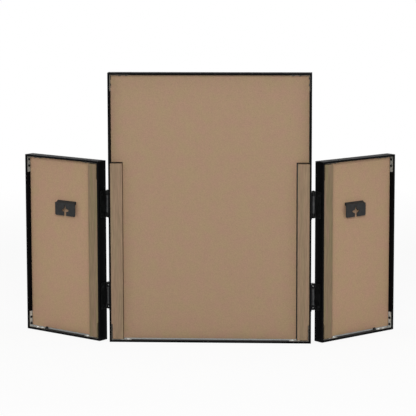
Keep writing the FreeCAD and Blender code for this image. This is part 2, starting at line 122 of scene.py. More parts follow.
def add_node(
    tree: bpy.types.NodeTree,
    kind: str,
    settings: dict | None = None,
    links: dict | None = None,
) -> bpy.types.Node:
    """Adds one node with its settings and its incoming links.

    Args:
        tree: The node tree that gets the node.
        kind: The node's type.
        settings: Values by name.  A name in lower case is a property of the node, and any other
            name or number is one of its inputs.
        links: Output sockets by the name or number of the input that they feed.

    Returns:
        The new node.
    """
    node = tree.nodes.new(kind)
    for key, value in (settings or {}).items():
        if isinstance(key, str) and key.islower():
            setattr(node, key, value)
        else:
            node.inputs[key].default_value = value
    for key, socket in (links or {}).items():
        tree.links.new(socket, node.inputs[key])
    return node


def emptied(owner: bpy.types.Material | bpy.types.World) -> bpy.types.NodeTree:
    """Switches the nodes of a material or a world on and clears them.

    Args:
        owner: The material or the world.

    Returns:
        Its empty node tree.
    """
    owner.use_nodes = True
    owner.node_tree.nodes.clear()
    return owner.node_tree


@dataclass(frozen=True)
class Pattern:
    """Soft noise fixed to the piece, with cells of a real size.

    The noise mostly lies between 0.25 and 0.75.  It is read over a span, clamped at its ends.
    """

    size_mm: float
    detail: float = 2.0  # how many finer layers are added
    span: tuple[float, float] = (0.0, 1.0)
    into: tuple[float, float] = (0.0, 1.0)  # what the ends of the span become
    stretch: tuple[float, float, float] = (1.0, 1.0, 1.0)  # under 1 where cells are drawn out
    shift: float = 0.0  # moves the pattern, so that two layers differ
    fading: float = 0.55  # strength of each finer layer next to the one before

    def output(self, tree: bpy.types.NodeTree) -> bpy.types.NodeSocket:
        """Adds the pattern's nodes.

        Args:
            tree: The material's node tree.

        Returns:
            The socket with the pattern.
        """
        place = {"Vector": add_node(tree, "ShaderNodeTexCoord").outputs["Object"]}
        drawn = {"Scale": self.stretch, "Location": (self.shift,) * 3}
        scaled = {"Vector": add_node(tree, "ShaderNodeMapping", drawn, place).outputs["Vector"]}
        cells = {"Scale": 1 / (self.size_mm * MM), "Detail": self.detail}
        cells["Roughness"] = self.fading
        noise = add_node(tree, "ShaderNodeTexNoise", cells, scaled)
        ends = dict(zip(("From Min", "From Max", "To Min", "To Max"), self.span + self.into))
        spread = add_node(tree, "ShaderNodeMapRange", ends, {"Value": noise.outputs["Fac"]})
        return spread.outputs["Result"]


# ------------------------------------------------------------------------------ finishes
@dataclass(frozen=True)
class Finish:
    """A surface as its maker would name it, and the slot of the record that it belongs to.

    A mottle blends two tones.  The roughness may change along it or along its own pattern, and
    one more pattern is the relief.
    """

    name: str
    slot: str
    tone: str  # where the mottle is 0, or all over
    other: str = ""  # where it is 1
    mottle: Pattern | None = None
    rough: float = 0.5
    rough_change: tuple[float, float] | None = None  # at the ends of the pattern it goes along
    rough_pattern: Pattern | None = None  # in place of the mottle
    relief: Pattern | None = None
    relief_mm: float = 0.0
    specular: float = 0.5
    metal: float = 0.0
    ior: float = 1.5

    def material(self) -> bpy.types.Material:
        """Makes the material once and hands it out from then on.

        Returns:
            The finish's material.
        """
        known = bpy.data.materials.get(self.name)
        if known is not None:
            return known
        made = bpy.data.materials.new(self.name)
        tree = emptied(made)
        shader = add_node(tree, "ShaderNodeBsdfPrincipled")
        add_node(tree, "ShaderNodeOutputMaterial", None, {"Surface": shader.outputs["BSDF"]})
        self.dress(tree, shader)
        return made

    def dress(self, tree: bpy.types.NodeTree, shader: bpy.types.Node) -> None:
        """Sets the shader's sockets and leads the patterns into them.

        Args:
            tree: The material's node tree.
            shader: Its Principled shader.
        """
        sockets = shader.inputs
        sockets["Base Color"].default_value = srgb(self.tone)
        sockets["Roughness"].default_value = self.rough
        sockets["Specular IOR Level"].default_value = self.specular
        sockets["Metallic"].default_value = self.metal
        sockets["IOR"].default_value = self.ior
        if self.mottle is not None:
            tree.links.new(self.colour(tree), sockets["Base Color"])
        if self.rough_change is not None:
            ends = tuple(self.rough + change for change in self.rough_change)
            satin = replace(self.rough_pattern or self.mottle, into=ends)
            tree.links.new(satin.output(tree), sockets["Roughness"])
        if self.relief is not None:
            strength = {"Strength": 1.0, "Distance": self.relief_mm * MM}
            bump = add_node(tree, "ShaderNodeBump", strength, {"Height": self.relief.output(tree)})
            tree.links.new(bump.outputs["Normal"], sockets["Normal"])

    def cover(self, tree: bpy.types.NodeTree) -> bpy.types.NodeSocket:
        """Where the second tone shows: all over, as the mottle says."""
        return self.mottle.output(tree)

    def colour(self, tree: bpy.types.NodeTree) -> bpy.types.NodeSocket:
        """Blends the two tones.

        Args:
            tree: The material's node tree.

        Returns:
            The socket with the colour.
        """
        tones = {"data_type": "RGBA", 6: srgb(self.tone), 7: srgb(self.other)}
        return add_node(tree, "ShaderNodeMix", tones, {0: self.cover(tree)}).outputs[2]


@dataclass(frozen=True)
class PowderCoat(Finish):
    """Black polyester powder coat, sprayed and baked on extruded aluminium.

    To the eye it is a deep satin black, scuffed in patches, with a fine orange-peel skin that is
    drawn twice as coarse as it is so that it shows.  The arrises rub to a soft grey.
    """

    tone: str = "#0a0a0b"
    other: str = "#1b1b1c"
    mottle: Pattern = Pattern(18.0, 4.0, (0.42, 0.68), (0.0, 0.6))
    rough: float = 0.45
    rough_change: tuple[float, float] = (-0.05, 0.08)
    rough_pattern: Pattern = Pattern(36.0, 3.0, (0.3, 0.7), shift=3.0)
    relief: Pattern = Pattern(1.1, 1.0)
    relief_mm: float = 0.007
    specular: float = 0.03

    def cover(self, tree: bpy.types.NodeTree) -> bpy.types.NodeSocket:
        """Where the rubbed tone shows: in patches along the worn edges.

        Args:
            tree: The material's node tree.

        Returns:
            The socket with the cover.
        """
        edge = add_node(tree, "ShaderNodeAttribute", {"attribute_name": WEAR})
        factors = {0: edge.outputs["Fac"], 1: self.mottle.output(tree)}
        return add_node(tree, "ShaderNodeMath", {"operation": "MULTIPLY"}, factors).outputs["Value"]


@dataclass(frozen=True)
class SilveredGlass(Finish):
    """Float glass silvered on its rear face.

    To the eye it is a clean mirror with the faint green of 5 mm of soda-lime glass and hardly any
    haze.
    """

    tone: str = "#e8edea"
    rough: float = 0.0
    rough_change: tuple[float, float] = (0.004, 0.02)
    rough_pattern: Pattern = Pattern(60.0, 3.0, (0.35, 0.75))
    metal: float = 1.0
    glass_ior: float = 1.52

    def dress(self, tree: bpy.types.NodeTree, shader: bpy.types.Node) -> None:
        """A metal mirror under a clear glass coat.

        Args:
            tree: The material's node tree.
            shader: Its Principled shader.
        """
        super().dress(tree, shader)
        shader.inputs["Coat Weight"].default_value = 1.0
        shader.inputs["Coat Roughness"].default_value = 0.0
        shader.inputs["Coat IOR"].default_value = self.glass_ior


@dataclass(frozen=True)
class Fibreboard(Finish):
    """Medium-density fibreboard, pressed flat and sanded.

    To the eye it is an even warm brown with soft clouds of a warmer and a greener brown a few
    centimetres wide, fibre flecks and darker specks of bark.  Fibre bundles are under 1 mm wide and
    are drawn coarser so that they show.  The flecks stand up a little: their pattern is the relief.
    """

    tone: str = "#a5846e"
    other: str = "#a18a69"
    mottle: Pattern = Pattern(38.0, 3.0, (0.36, 0.64))
    rough: float = 0.82
    relief: Pattern = Pattern(3.2, 4.0, shift=7.0)
    relief_mm: float = 0.06
    specular: float = 0.3
    ground: str = "#a1876f"  # the brown under the clouds
    cloud_share: float = 0.7
    fleck_span: tuple[float, float] = (0.3, 0.7)
    fleck_depth: float = 0.10
    bark_size: float = 1.7  # of a fleck
    bark_span: tuple[float, float] = (0.72, 0.8)  # only the peaks of its noise are bark
    bark_shift: float = 11.0
    bark_shade: float = 0.82

    def colour(self, tree: bpy.types.NodeTree) -> bpy.types.NodeSocket:
        """Shades the clouds over the ground brown with flecks and bark.

        Args:
            tree: The material's node tree.

        Returns:
            The socket with the colour.
        """
        under = {"data_type": "RGBA", 0: self.cloud_share, 6: srgb(self.ground)}
        base = add_node(tree, "ShaderNodeMix", under, {7: super().colour(tree)})
        shades = (1.0 - self.fleck_depth, 1.0 + self.fleck_depth)
        flecks = replace(self.relief, span=self.fleck_span, into=shades)
        bark = replace(
            self.relief,
            size_mm=self.relief.size_mm * self.bark_size,
            detail=1.0,
            span=self.bark_span,
            into=(1.0, self.bark_shade),
            shift=self.bark_shift,
        )
        factors = {0: flecks.output(tree), 1: bark.output(tree)}
        shade = add_node(tree, "ShaderNodeMath", {"operation": "MULTIPLY"}, factors)
        both = {0: base.outputs[2], "Scale": shade.outputs["Value"]}
        return add_node(tree, "ShaderNodeVectorMath", {"operation": "SCALE"}, both).outputs[0]


@dataclass(frozen=True)
class ZincPlate(Finish):
    """Steel with a zinc plate that has bloomed.

    To the eye it is a pale cool grey, mottled and more chalky than bright, because the bloom leaves
    only a share of the metal to be seen.
    """

    tone: str = "#a6aca9"
    other: str = "#dfe3e0"
    mottle: Pattern = Pattern(5.0, 3.0, (0.32, 0.68))
    rough_change: tuple[float, float] = (0.12, -0.06)
    relief: Pattern = Pattern(0.9)
    relief_mm: float = 0.012
    metal: float = 0.35


@dataclass(frozen=True)
class BlackSteel(Finish):
    """Pressed steel blackened by a thin electro-dipped paint.

    To the eye it is a dark grey-black with a soft sheen, paler in patches where leaves and plates
    were handled, over a fine grain.
    """

    mottle: Pattern = Pattern(9.0, 4.0, (0.36, 0.66))
    rough: float = 0.36
    rough_change: tuple[float, float] = (0.0, 0.1)
    relief: Pattern = Pattern(1.0)
    relief_mm: float = 0.015
    specular: float = 0.4


SAWN = (1.0, 1.0, 0.08)  # the saw and the planer draw a batten's cells out along z
SAWN_FIBRES = Pattern(3.2, 4.0, stretch=SAWN, shift=7.0)

FRAME_COAT = PowderCoat("satin_black_powder_coat", "frame_coat")
# The powder-coated upward ledge inside a bottom rail, a paler grey partly from a thin matt film of
# dust and fibres and partly as painted light falling on it from above.
LEDGE_DUST_AND_LIGHT = Finish(
    "dusty_rail_ledge", "frame_coat", "#101010", "#323231",
    Pattern(7.0, 4.0, (0.28, 0.55), (0.55, 1.0)), 0.9,
    relief=Pattern(1.2), relief_mm=0.15, specular=0.2,
)
MIRROR_FACE = SilveredGlass("silvered_float_glass", "mirror_glass")
# The seamed edge of the glass, ground with a belt: frosted grey-green with fine scratches.
GLASS_EDGE = Finish(
    "seamed_glass_edge", "mirror_glass", "#6f8a7f", "#a9bdb3", Pattern(1.5, 3.0, (0.3, 0.7)), 0.55,
    relief=Pattern(1.5, 3.0), relief_mm=0.03, ior=1.52,
)
# The paint that guards the silvering: flat grey-green with a slight curtain-coater mottle.
GLASS_BACK = Finish(
    "mirror_backing_paint", "mirror_glass", "#2d3230", "#252a28",
    Pattern(25.0, 3.0, (0.3, 0.7)), 0.6,
)
CENTRE_BOARD = Fibreboard("pressed_fibreboard", "board_fibre")
# The wings' boards: the centre's fibreboard painted paler, as painted light making up for the lamp
# light that the angled wings lose.
WING_BOARD_PAINTED_LIGHT = Fibreboard(
    "paler_pressed_fibreboard", "board_fibre", "#b59078", "#b19673", ground="#b19377"
)
BOARD_EDGE = Fibreboard(
    "sawn_fibreboard_edge", "board_fibre", "#ab8c74", "#a8906f", rough=0.92,
    relief=Pattern(2.2, 4.0, shift=7.0), ground="#a88f72", fleck_depth=0.16,
)
CENTRE_BATTEN = Fibreboard(
    "sawn_fibreboard_batten", "batten_fibre", "#917762", "#8b795f",
    Pattern(14.0, 3.0, (0.36, 0.64), stretch=SAWN),
    relief=SAWN_FIBRES, ground="#8e7861", fleck_depth=0.14,
)
# The wings' battens: the same sawn fibreboard as the centre's, drawn in a darker brown.
WING_BATTEN = Fibreboard(
    "planed_fibreboard_batten", "batten_fibre", "#8d7360", "#7f7454",
    Pattern(12.0, 3.0, (0.36, 0.64), stretch=SAWN),
    relief=SAWN_FIBRES, ground="#86735a", fleck_depth=0.16,
)
ZINC = ZincPlate("bloomed_zinc_plate", "zinc_steel")
# The top brackets' zinc: the same plate, darker as painted shade under the top rails.
ZINC_PAINTED_SHADE = ZincPlate("tarnished_zinc_plate", "zinc_steel", "#7c827f", "#aeb2af")
# The bottom brackets' level-leg screws: zinc, painted paler still as a glint of the lamps.
ZINC_SCREW_AND_GLINT = ZincPlate(
    "bright_zinc_screw", "zinc_steel", "#d6d9d7", "#f2f3f1", rough=0.35, metal=0.3
)
# Pins and locking studs of the lower hinges: pale steel whose paleness is painted glints,
# reflections of the floor; the upper hinges' are black.
PIN_STEEL_PAINTED_GLINT = ZincPlate("worn_steel_pin", "hinge_steel", "#b4b5b4", "#e4e5e3", rough=0.4)
# Bracket faces cut across y: dark as bare sheared steel, and as painted shade where the top rails
# overhang them.
CUT_STEEL_AND_SHADE = BlackSteel("sheared_steel_edge", "zinc_steel", "#68635b", "#80796e", specular=0.2)
# Black screws on the brackets' upright legs; on the top brackets' level legs their black is painted
# shade under the top rails.
BLACK_SCREW_AND_SHADE = BlackSteel("black_oxide_screw", "zinc_steel", "#0b0b0c", "#151516")
HINGE_BLACK = BlackSteel(
    "blackened_hinge_steel", "hinge_steel", "#0c0c0c", "#191a1a", specular=0.2
)
# The swinging leaves' knuckles: blackened steel painted a paler grey as a highlight along the
# barrel.
HINGE_BARREL_PAINTED_HIGHLIGHT = BlackSteel(
    "burnished_hinge_barrel", "hinge_steel", "#2b2c2d", "#4b4c4d", rough=0.3, specular=0.5
)
HINGE_SCREW = BlackSteel("blackened_hinge_screw", "hinge_screw_steel", "#121213", "#232425")
HANGER_BLACK = BlackSteel(
    "blackened_hanger_plate", "hanger_steel", "#262626", "#303030", rough=0.5, specular=0.15
)
HANGER_SCREW = BlackSteel("blackened_hanger_screw", "hanger_screw_steel", "#121213", "#232425")
# Moulded black rubber of the setting blocks: deep and matt, with a talc bloom in the grain.
RUBBER = Finish(
    "setting_block_rubber", "block_rubber", "#101010", "#3a3a3a",
    Pattern(3.0, 3.0, (0.4, 0.75), (0.0, 0.35)), 0.75, relief=Pattern(0.8), relief_mm=0.03,
)
# Sliced closed-cell foam rubber: a pale matt grey, pitted with cut cells.  They are under 1 mm wide
# and are drawn coarser so that they show.
CELLS = Pattern(1.6, 2.0, (0.35, 0.65))
FOAM = Finish(
    "seating_foam_strip", "strip_foam", "#9e9f9e", "#bebfbd", CELLS, 0.9,
    relief=CELLS, relief_mm=0.12, specular=0.2,
)


# ------------------------------------------------------------------------------ surfaces
def inset(outline: np.ndarray, distance: float) -> np.ndarray:
    """Moves every side of a closed outline inwards by the same distance.

    A corner moves along the sum of the normals of its two sides, times the distance over one plus
    the cosine between them, which keeps it on both moved sides.

    Args:
        outline: Points (n, 2), anticlockwise.
        distance: How far the sides move, in millimetres.

    Returns:
        The moved points (n, 2).
    """
    run = np.roll(outline, -1, axis=0) - outline
    run /= np.linalg.norm(run, axis=1, keepdims=True)
    normal = np.stack([-run[:, 1], run[:, 0]], axis=1)
    before = np.roll(normal, 1, axis=0)
    share = 1.0 + np.sum(before * normal, axis=1, keepdims=True)
    return outline + distance * (before + normal) / share


def rounded(
    corners: list[tuple[float, float]],
    radii: list[float],
    steps: int = 3,
    margin: float = 0.6,
    margin_share: float = 0.45,
) -> tuple[np.ndarray, np.ndarray]:
    """Rounds the corners of a closed outline.

    The arc at a corner has its centre on the corner's bisector, radius over sin(half angle) away.
    Its points are the centre plus the radius times a direction that turns evenly from one touching
    point to the other: (sin((1 - s) a) u + sin(s a) v) / sin(a), for s from 0 to 1.  A plain point
    lies the margin further out on each side, where wear has faded to nothing.  On a short side the
    margin shrinks, so that the plain points of its two corners keep their order.

    Args:
        corners: The sharp outline, anticlockwise.
        radii: A radius for each corner.
        steps: Pieces in each arc.
        margin: How far wear reaches past an arc, where the side has room for it.
        margin_share: The most that a margin takes of the plain part of its side.

    Returns:
        The points (n, 2), and the wear at each.
    """
    sharp = np.array(corners, float)
    radius = np.array(radii, float)[:, None]
    ahead = np.roll(sharp, -1, axis=0) - sharp
    side = np.linalg.norm(ahead, axis=1, keepdims=True)
    ahead /= side
    back = -np.roll(ahead, 1, axis=0)
    half = np.arccos(np.clip(np.sum(back * ahead, axis=1, keepdims=True), -1, 1)) / 2
    middle = back + ahead
    middle /= np.linalg.norm(middle, axis=1, keepdims=True)
    centre = sharp + middle * radius / np.sin(half)
    touch = radius / np.tan(half)
    first = (sharp + back * touch - centre) / radius
    last = (sharp + ahead * touch - centre) / radius
    turn = (math.pi - 2 * half)[:, None]
    along = np.linspace(0.0, 1.0, steps + 1)[None, :, None]
    blend = np.sin((1 - along) * turn) * first[:, None] + np.sin(along * turn) * last[:, None]
    arc = centre[:, None] + radius[:, None] * blend / np.sin(turn)
    free = side - touch - np.roll(touch, -1, axis=0)
    margin_ahead = np.minimum(margin, free * margin_share)
    margin_back = np.roll(margin_ahead, 1, axis=0)
    start = (sharp + back * (touch + margin_back))[:, None]
    end = (sharp + ahead * (touch + margin_ahead))[:, None]
    points = np.concatenate([start, arc, end], axis=1)
    wear = np.ones(points.shape[:2])
    wear[:, [0, -1]] = 0.0
    return points.reshape(-1, 2), wear.reshape(-1)


@dataclass
class Shell:
    """A closed surface in millimetres: its points, its faces, its wear and its faces' finishes."""

    points: np.ndarray
    faces: list[tuple[int, ...]]
    wear: np.ndarray
    finish_of_face: list[int]

    @classmethod
    def through(cls, rings: np.ndarray, wear: np.ndarray | None = None) -> Shell:
        """Skins a stack of closed rings and closes its two ends.

        The surface is a function of two whole numbers: rings[i, j] is its point at station i and
        place j round the ring.  Four neighbours make a face, and the first and last ring one each.

        Args:
            rings: Points (stations, places, 3).
            wear: Wear (stations, places), or None for none.

        Returns:
            The shell: its skin has finish 0, the first cap finish 1 and the last cap finish 2.
        """
        stations, places, _ = rings.shape
        index = np.arange(stations * places).reshape(stations, places)
        ahead = np.roll(index, -1, axis=1)
        quads = np.stack([index[:-1], ahead[:-1], ahead[1:], index[1:]], axis=-1).reshape(-1, 4)
        faces = [tuple(quad) for quad in quads.tolist()]
        faces += [tuple(index[0, ::-1].tolist()), tuple(index[-1].tolist())]
        flat_wear = np.zeros(stations * places) if wear is None else wear.reshape(-1)
        finishes = [0] * len(quads) + [1, 2]
        return cls(rings.reshape(-1, 3), faces, flat_wear, finishes)

    def moved(self, matrix: np.ndarray) -> Shell:
        """A copy carried by a 4 by 4 matrix in millimetres."""
        points = self.points @ matrix[:3, :3].T + matrix[:3, 3]
        return Shell(points, self.faces, self.wear, self.finish_of_face)

    @classmethod
    def joined(cls, shells: list[Shell]) -> Shell:
        """Puts several shells into one piece, each still closed by itself.

        Args:
            shells: The shells, with the same finishes.

        Returns:
            One shell with all their points and faces.
        """
        starts = np.cumsum([0] + [len(shell.points) for shell in shells[:-1]])
        faces = [
            tuple(corner + int(start) for corner in face)
            for shell, start in zip(shells, starts)
            for face in shell.faces
        ]
        return cls(
            np.concatenate([shell.points for shell in shells]),
            faces,
            np.concatenate([shell.wear for shell in shells]),
            [finish for shell in shells for finish in shell.finish_of_face],
        )


def slab(outline: np.ndarray, low: float, high: float, roll: float, steps: int = 3) -> Shell:
    """A flat plate across y with rolled edges.

    Ring t of the lower half is the outline moved inwards by roll times (1 - sin t), at a depth of
    low plus roll times (1 - cos t), for t from 0 to a quarter turn.  The upper half mirrors it.

    Args:
        outline: Points (n, 2) in x and z, anticlockwise.
        low: Depth of the first face.
        high: Depth of the second face.
        roll: Radius of the edges.
        steps: Pieces in a quarter turn.

    Returns:
        The plate, worn most in the middle of its rolled edges.
    """
    turn = np.linspace(0.0, math.pi / 2, steps + 1)
    inwards = roll * (1 - np.sin(turn))
    depth = roll * (1 - np.cos(turn))
    insets = np.concatenate([inwards, inwards[::-1]])
    depths = np.concatenate([low + depth, high - depth[::-1]])
    worn = np.concatenate([np.sin(2 * turn), np.sin(2 * turn[::-1])])
    flat = np.stack([inset(outline, distance) for distance in insets])
    across = np.broadcast_to(depths[:, None], flat.shape[:2])
    rings = np.stack([flat[..., 0], across, flat[..., 1]], axis=-1)
    wear = np.broadcast_to(worn[:, None], flat.shape[:2])
    return Shell.through(rings, np.array(wear))


def lathe(profile: list[tuple[float, float]], sides: int) -> Shell:
    """Turns a profile about z: point (i, j) is (r cos t, r sin t, h), with r and h from profile i.

    Args:
        profile: Radius and height from one end to the other.
        sides: Points round the turn.

    Returns:
        The turned shell.
    """
    radius, height = np.array(profile, float).T[..., None]
    turn = np.linspace(0.0, 2 * math.pi, sides, endpoint=False)
    x, y = radius * np.cos(turn), radius * np.sin(turn)
    return Shell.through(np.stack([x, y, np.broadcast_to(height, x.shape)], axis=-1))


def dome(radius: float, rim: float, rise: float, steps: int) -> list[tuple[float, float]]:
    """The profile of a dome: height = rim + rise * cos(a quarter turn * r / R).

    Args:
        radius: Radius of its rim.
        rim: Height of its rim.
        rise: How far the crown lies over the rim.
        steps: How many points.

    Returns:
        Radius and height, from the rim to the crown.
    """
    share = np.linspace(1.0, 0.0, steps)
    return [(radius * s, rim + rise * math.cos(math.pi / 2 * s)) for s in share]


def turned(angle: float, axis: str) -> np.ndarray:
    """A 4 by 4 rotation about a main axis, by an angle in degrees."""
    return np.array(Matrix.Rotation(math.radians(angle), 4, axis))


def shifted(x: float, y: float, z: float) -> np.ndarray:
    """A 4 by 4 shift."""
    return np.array(Matrix.Translation((x, y, z)))


def seated(at: Sequence[float], axis: Sequence[float], turn: float = 0.0) -> np.ndarray:
    """The matrix that stands something made on z = 0 on a seat.

    Args:
        at: The middle of the seat.
        axis: The way that z turns to.
        turn: A turn about that axis first, in degrees.

    Returns:
        The 4 by 4 matrix.
    """
    upright = Vector(axis).to_track_quat("Z", "Y").to_matrix().to_4x4()
    return shifted(*at) @ np.array(upright) @ turned(turn, "Z")


@dataclass(frozen=True)
class ScrewHead:
    """A screw with a cross recess: its head stands on z = 0, or lies flush with it if flat."""

    form: HeadForm
    radius: float
    height: float
    shank: float
    length: float
    arm_width: float = 0.17  # of the recess, as a share of the radius, each side of the middle
    arm_length: float = 0.56
    recess_depth: float = 0.42  # in the middle, as a share of the radius
    shoaling: float = 0.45  # share of that depth that an arm has lost at its end
    lip: float = 0.05
    outer_lines: tuple[float, ...] = (0.8, 0.93, 1.0)
    rim_share: float = 0.45  # height of a pan head's rim, as a share of the head's
    crown_power: float = 2.6

    def lines(self) -> np.ndarray:
        """Grid lines from -1 to 1, doubled at the recess's walls so that these are steep.

        Returns:
            The lines, in rising order.
        """
        walls = [end + lip for end in (self.arm_width, self.arm_length) for lip in (0.0, self.lip)]
        half = np.array([*walls, *self.outer_lines])
        return np.concatenate([-half[::-1], half])

    def shell(self) -> Shell:
        """Builds the screw.

        The top is a square grid (u, v) bent to a disc: x = u sqrt(1 - v^2 / 2) and
        y = v sqrt(1 - u^2 / 2).  A pan head's height there falls off as (1 - r^p)^(1 / p).  The
        two arms of the cross, |u| or |v| within their width, are sunk by a depth that shrinks
        towards their ends.  The square's rim then runs down as rings to the seat and the shank.

        Returns:
            The closed shell.
        """
        lines = self.lines()
        u, v = np.meshgrid(lines, lines, indexing="ij")
        x = u * np.sqrt(1 - v**2 / 2)
        y = v * np.sqrt(1 - u**2 / 2)
        reach = np.clip(np.hypot(x, y), 0, 1)
        pan = self.form is HeadForm.PAN
        crown = self.height if pan else 0.0
        rim = self.rim_share * crown
        z = rim + (crown - rim) * (1 - reach**self.crown_power) ** (1 / self.crown_power)
        for across, along in ((u, v), (v, u)):
            arm = (abs(across) <= self.arm_width) & (abs(along) <= self.arm_length)
            depth = self.recess_depth * (1 - self.shoaling * abs(along) / self.arm_length)
            z = np.where(arm, np.minimum(z, crown - self.radius * depth), z)
        top = np.stack([x * self.radius, y * self.radius, z], axis=-1)
        count = len(lines)
        index = np.arange(count * count).reshape(count, count)
        quads = np.stack([index[:-1, :-1], index[1:, :-1], index[1:, 1:], index[:-1, 1:]], axis=-1)
        border = np.concatenate([index[:-1, 0], index[-1, :-1], index[:0:-1, -1], index[0, :0:-1]])
        ring = top.reshape(-1, 3)[border]
        neck = self.shank / self.radius
        head = [(1.0, 0.0), (neck, 0.0)] if pan else [(neck, self.shank - self.radius)]
        levels = [*head, (neck, -self.length)]
        rings = np.stack([ring * (share, share, 0.0) + (0.0, 0.0, z) for share, z in levels])
        points = np.concatenate([top.reshape(-1, 3), rings.reshape(-1, 3)])
        below = count * count + np.arange(len(levels) * len(border)).reshape(len(levels), -1)
        stack = np.concatenate([border[None], below])
        ahead = np.roll(stack, -1, axis=1)
        wall = np.stack([stack[:-1], stack[1:], ahead[1:], ahead[:-1]], axis=-1)
        skin = np.concatenate([quads.reshape(-1, 4), wall.reshape(-1, 4)])
        faces = [tuple(face) for face in skin.tolist()] + [tuple(below[-1].tolist())]
        return Shell(points, faces, np.zeros(len(points)), [0] * len(faces))

    def driven(
        self, at: Sequence[float], axis: Sequence[float], dice: np.random.Generator
    ) -> Shell:
        """Puts the screw on its seat, turned as it happened to stop.

        Args:
            at: The middle of the seat.
            axis: The way out of the seat.
            dice: Gives the turn.

        Returns:
            The screw.
        """
        return self.shell().moved(seated(at, axis, dice.uniform(0, 90)))


# ------------------------------------------------------------------------------ making pieces
def smooth_by_angle(mesh: bpy.types.Mesh) -> None:
    """Shades a mesh smooth, but for its many-sided flats and its sharp edges.

    Args:
        mesh: The mesh.
    """
    # This call clears the flat faces' marks, so it comes before them.
    mesh.set_sharp_from_angle(angle=math.radians(SHARP_TURN))
    corners = np.zeros(len(mesh.polygons), np.int32)
    mesh.polygons.foreach_get("loop_total", corners)
    mesh.polygons.foreach_set("use_smooth", corners < FLAT_CORNERS)


def mesh_from(shell: Shell, name: str) -> bpy.types.Mesh:
    """Turns a shell into a mesh in metres with merged points and outward faces.

    Args:
        shell: The surface in millimetres, already in the row frame.
        name: Name of the mesh.

    Returns:
        The mesh, with the wear as a point attribute.
    """
    mesh = bpy.data.meshes.new(name)
    mesh.from_pydata((shell.points * MM).tolist(), [], shell.faces)
    mesh.polygons.foreach_set("material_index", np.array(shell.finish_of_face, np.int32))
    wear = mesh.attributes.new(WEAR, "FLOAT", "POINT")
    wear.data.foreach_set("value", shell.wear.astype(np.float32))
    work = bmesh.new()
    work.from_mesh(mesh)
    bmesh.ops.remove_doubles(work, verts=work.verts, dist=WELD)
    bmesh.ops.recalc_face_normals(work, faces=work.faces)
    work.to_mesh(mesh)
    work.free()
    smooth_by_angle(mesh)
    return mesh


def merged_copy(source: bpy.types.Object, name: str) -> bpy.types.Mesh:
    """Copies a CAD node's loose triangles as one merged mesh with its flat faces made whole.

    Args:
        source: The CAD node's object.
        name: Name of the new mesh.

    Returns:
        The merged mesh.
    """
    work = bmesh.new()
    work.from_mesh(source.data)
    bmesh.ops.remove_doubles(work, verts=work.verts, dist=CAD_WELD)
    bmesh.ops.dissolve_limit(
        work,
        angle_limit=math.radians(FLAT_TURN),
        use_dissolve_boundaries=False,
        verts=work.verts,
        edges=work.edges,
    )
    work.verts.index_update()
    points = [tuple(vertex.co) for vertex in work.verts]
    faces = [tuple(vertex.index for vertex in face.verts) for face in work.faces]
    work.free()
    mesh = bpy.data.meshes.new(name)
    mesh.from_pydata(points, [], faces)
    smooth_by_angle(mesh)
    return mesh


def link_piece(
    mesh: bpy.types.Mesh, finishes: list[Finish], body: str, replaced: list[str]
) -> bpy.types.Object:
    """Makes a mesh a piece of the object, riding on a body in place of CAD nodes.

    Args:
        mesh: The finished mesh, in place.
        finishes: The finishes that its faces point to, the first of which names the slot.
        body: The body that it rides on.
        replaced: The CAD nodes that it stands for.

    Returns:
        The piece.
    """
    piece = bpy.data.objects.new(mesh.name, mesh)
    bpy.context.scene.collection.objects.link(piece)
    for finish in finishes:
        mesh.materials.append(finish.material())
    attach(piece, body)
    if replaced:
        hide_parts(*replaced)
    LOG.info("%-36s rides on %-13s for %s", piece.name, body, ", ".join(replaced) or "no node")
    return piece


def soften(piece: bpy.types.Object, roll_mm: float) -> None:
    """Rolls a piece's sharp edges over with a bevel that keeps its flats flat.

    Args:
        piece: The piece.
        roll_mm: Width of the rolled edge in millimetres.
    """
    bevel = piece.modifiers.new("rolled_edges", "BEVEL")
    bevel.width = roll_mm * MM
    bevel.segments = ROLL_STEPS
    bevel.limit_method = "ANGLE"
    bevel.angle_limit = math.radians(ROLLED_TURN)
    bevel.use_clamp_overlap = True
    bevel.harden_normals = True


